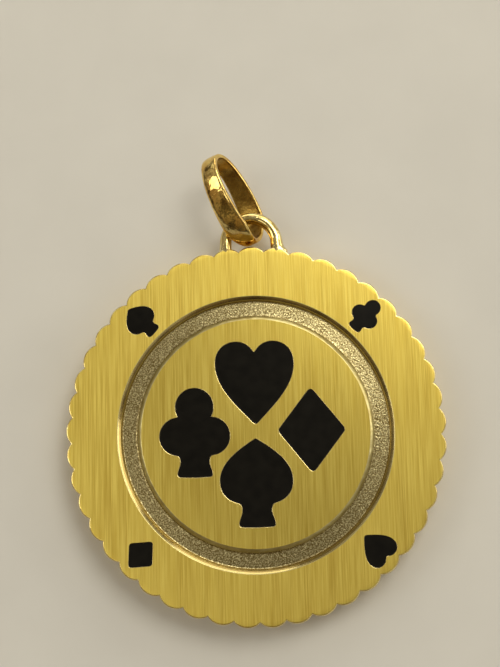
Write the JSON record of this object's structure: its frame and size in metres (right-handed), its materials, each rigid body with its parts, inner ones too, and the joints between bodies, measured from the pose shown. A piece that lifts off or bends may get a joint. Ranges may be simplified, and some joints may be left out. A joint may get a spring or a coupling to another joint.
{
  "type": "chip medallion pendant",
  "caption": "Scalloped round gold medallion shaped like a card-table chip, with black enamel card suits, a rim loop and a swinging bail for a chain.",
  "frame": {"origin": "centre of the disc's flat back face", "axes": "+Z out of the decorated face, +Y towards the loop and bail, +X to the right when the face is read upright"},
  "size_m": [0.036, 0.0449, 0.0062],
  "materials": {
    "brushed_gold": "straight brushed face, sandblasted groove, polished edges",
    "soldered_gold": "polished",
    "polished_gold": "mirror polished",
    "black_enamel": "smooth semi-gloss enamel"
  },
  "bodies": {
    "medallion": {"medallion_disc": "brushed_gold", "heart_inlay": "black_enamel", "diamond_inlay": "black_enamel", "spade_inlay": "black_enamel", "club_inlay": "black_enamel", "club_rim_inlay": "black_enamel", "spade_rim_inlay": "black_enamel", "diamond_rim_inlay": "black_enamel", "heart_rim_inlay": "black_enamel", "rim_loop": "soldered_gold"},
    "bail": {"bail": "polished_gold"}
  },
  "joints": [
    {"name": "bail_swing", "type": "hinge", "parent": "medallion", "child": "bail", "pos_m": [-0.00064, 0.02044, 0.00257], "axis": [0.8211, 0.2219, 0.5258], "range_deg": [-100, 60]}
  ]
}
